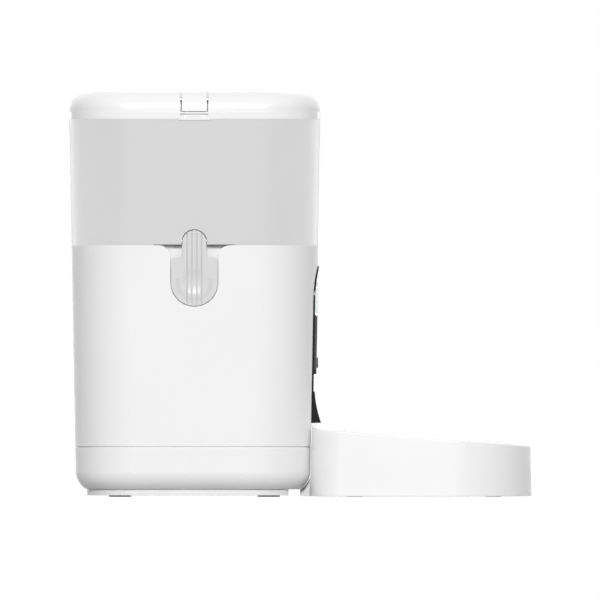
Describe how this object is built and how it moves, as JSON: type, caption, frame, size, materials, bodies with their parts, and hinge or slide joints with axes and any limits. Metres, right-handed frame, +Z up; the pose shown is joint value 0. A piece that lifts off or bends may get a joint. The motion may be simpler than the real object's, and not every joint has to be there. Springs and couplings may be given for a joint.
{
  "type": "smart pet feeder",
  "caption": "Upright dry food dispenser with a lift-off clear hopper, latched lid, motor driven portion wheel and a sloping bowl stand docked in front.",
  "frame": {"origin": "on the floor, at the centre of the whole object's footprint", "axes": "+Z up, front towards -Y with the bowl stand, +X to the object's right side"},
  "size_m": [0.1918, 0.3603, 0.3153],
  "materials": {
    "white_plastic": "satin",
    "collar_white": "gloss",
    "hazy_clear": "satin",
    "lever_grey": "satin",
    "black_gloss": "gloss",
    "smoked_plate": "gloss",
    "clear_window": "gloss",
    "button_white": "satin",
    "pale_grey_plastic": "satin",
    "inner_plastic": "satin",
    "wheel_plastic": "satin",
    "gear_plastic": "satin",
    "rubber_grey": "matte",
    "seal_silicone": "matte",
    "bowl_steel": "brushed",
    "pin_steel": "plain",
    "motor_metal": "plain",
    "cell_jacket": "satin",
    "bushing_brass": "plain",
    "board_green": "satin"
  },
  "bodies": {
    "housing": {"body_shell": "white_plastic", "base_tray": "white_plastic", "base_deck": "inner_plastic", "drum_pillars": "inner_plastic", "bottom_cover": "pale_grey_plastic", "body_feet": "rubber_grey", "front_panel": "black_gloss", "control_plate": "smoked_plate", "status_window": "clear_window", "outlet_bezel": "black_gloss", "food_chute": "inner_plastic", "dispenser_tub": "inner_plastic", "tub_cover": "inner_plastic", "throat_seal": "seal_silicone", "shaft_bushing": "bushing_brass", "gear_cover": "inner_plastic", "idler_pin": "pin_steel", "drive_motor": "motor_metal", "main_board": "board_green", "front_board": "board_green", "power_inlet": "pin_steel", "battery_cells": "cell_jacket", "battery_contacts": "pin_steel", "base_screws": "pin_steel", "floor_screws": "pin_steel", "tub_screws": "pin_steel", "drum_screws": "pin_steel", "gear_screws": "pin_steel", "motor_screws": "pin_steel", "board_screws": "pin_steel"},
    "battery_hatch": {"battery_door": "pale_grey_plastic"},
    "button": {"feed_button": "button_white"},
    "portion_wheel": {"portion_rotor": "wheel_plastic", "rotor_shaft": "pin_steel", "rotor_gear": "gear_plastic"},
    "idler": {"idler_gear": "gear_plastic"},
    "pinion": {"motor_pinion": "gear_plastic", "motor_shaft": "pin_steel"},
    "hopper": {"hopper_bin": "hazy_clear", "hopper_funnel": "white_plastic", "hopper_collar": "collar_white", "lever_pins": "pin_steel"},
    "lever_left": {"release_lever_left": "lever_grey"},
    "lever_right": {"release_lever_right": "lever_grey"},
    "lid": {"lid_cover": "white_plastic", "lid_liner": "inner_plastic", "lid_gasket": "seal_silicone", "desiccant_box": "inner_plastic", "latch_pins": "pin_steel"},
    "latch_left": {"lid_latch_left": "white_plastic"},
    "latch_right": {"lid_latch_right": "white_plastic"},
    "drying_cap": {"desiccant_cap": "pale_grey_plastic"},
    "bowl_stand": {"bowl_holder": "white_plastic", "holder_base": "pale_grey_plastic", "holder_feet": "rubber_grey", "holder_screws": "pin_steel"},
    "bowl": {"steel_bowl": "bowl_steel"}
  },
  "joints": [
    {"name": "battery_hatch_drop", "type": "slide", "parent": "housing", "child": "battery_hatch", "axis": [0, 0, -1], "range_m": [0, 0.012]},
    {"name": "button_press", "type": "slide", "parent": "housing", "child": "button", "axis": [0, 1, 0], "range_m": [0, 0.0008], "stiffness_N_per_m": 300},
    {"name": "wheel_spin", "type": "hinge", "parent": "housing", "child": "portion_wheel", "pos_m": [0, 0.066, 0.093], "axis": [0, 0, 1], "continuous": true},
    {"name": "idler_spin", "type": "hinge", "parent": "housing", "child": "idler", "pos_m": [0, 0.111, 0.082], "axis": [0, 0, 1], "continuous": true},
    {"name": "pinion_spin", "type": "hinge", "parent": "housing", "child": "pinion", "pos_m": [0, 0.14725, 0.082], "axis": [0, 0, 1], "continuous": true},
    {"name": "hopper_lift", "type": "slide", "parent": "housing", "child": "hopper", "axis": [0, 0, 1], "range_m": [0, 0.065]},
    {"name": "lever_left_press", "type": "hinge", "parent": "hopper", "child": "lever_left", "pos_m": [-0.08867, 0.0823, 0.199], "axis": [0, -1, 0], "range_deg": [0, 4.5], "stiffness_Nm_per_rad": 0.2},
    {"name": "lever_right_press", "type": "hinge", "parent": "hopper", "child": "lever_right", "pos_m": [0.08867, 0.0823, 0.199], "axis": [0, 1, 0], "range_deg": [0, 4.5], "stiffness_Nm_per_rad": 0.2},
    {"name": "lid_lift", "type": "slide", "parent": "hopper", "child": "lid", "axis": [0, 0, 1], "range_m": [0, 0.06]},
    {"name": "latch_left_flip", "type": "hinge", "parent": "lid", "child": "latch_left", "pos_m": [-0.0868, 0.0823, 0.3086], "axis": [0, 1, 0], "range_deg": [0, 12]},
    {"name": "latch_right_flip", "type": "hinge", "parent": "lid", "child": "latch_right", "pos_m": [0.0868, 0.0823, 0.3086], "axis": [0, -1, 0], "range_deg": [0, 12]},
    {"name": "drying_cap_twist", "type": "hinge", "parent": "lid", "child": "drying_cap", "pos_m": [0, 0.0823, 0.28], "axis": [0, 0, 1], "range_deg": [0, 30]},
    {"name": "stand_undock", "type": "slide", "parent": "housing", "child": "bowl_stand", "axis": [0, -1, 0], "range_m": [0, 0.03]},
    {"name": "bowl_lift", "type": "slide", "parent": "bowl_stand", "child": "bowl", "axis": [0, -0.0791, 0.9969], "range_m": [0, 0.05]}
  ],
  "couplings": [
    {"joint": "idler_spin", "follows": "wheel_spin", "ratio": -0.63636},
    {"joint": "pinion_spin", "follows": "wheel_spin", "ratio": 2}
  ]
}
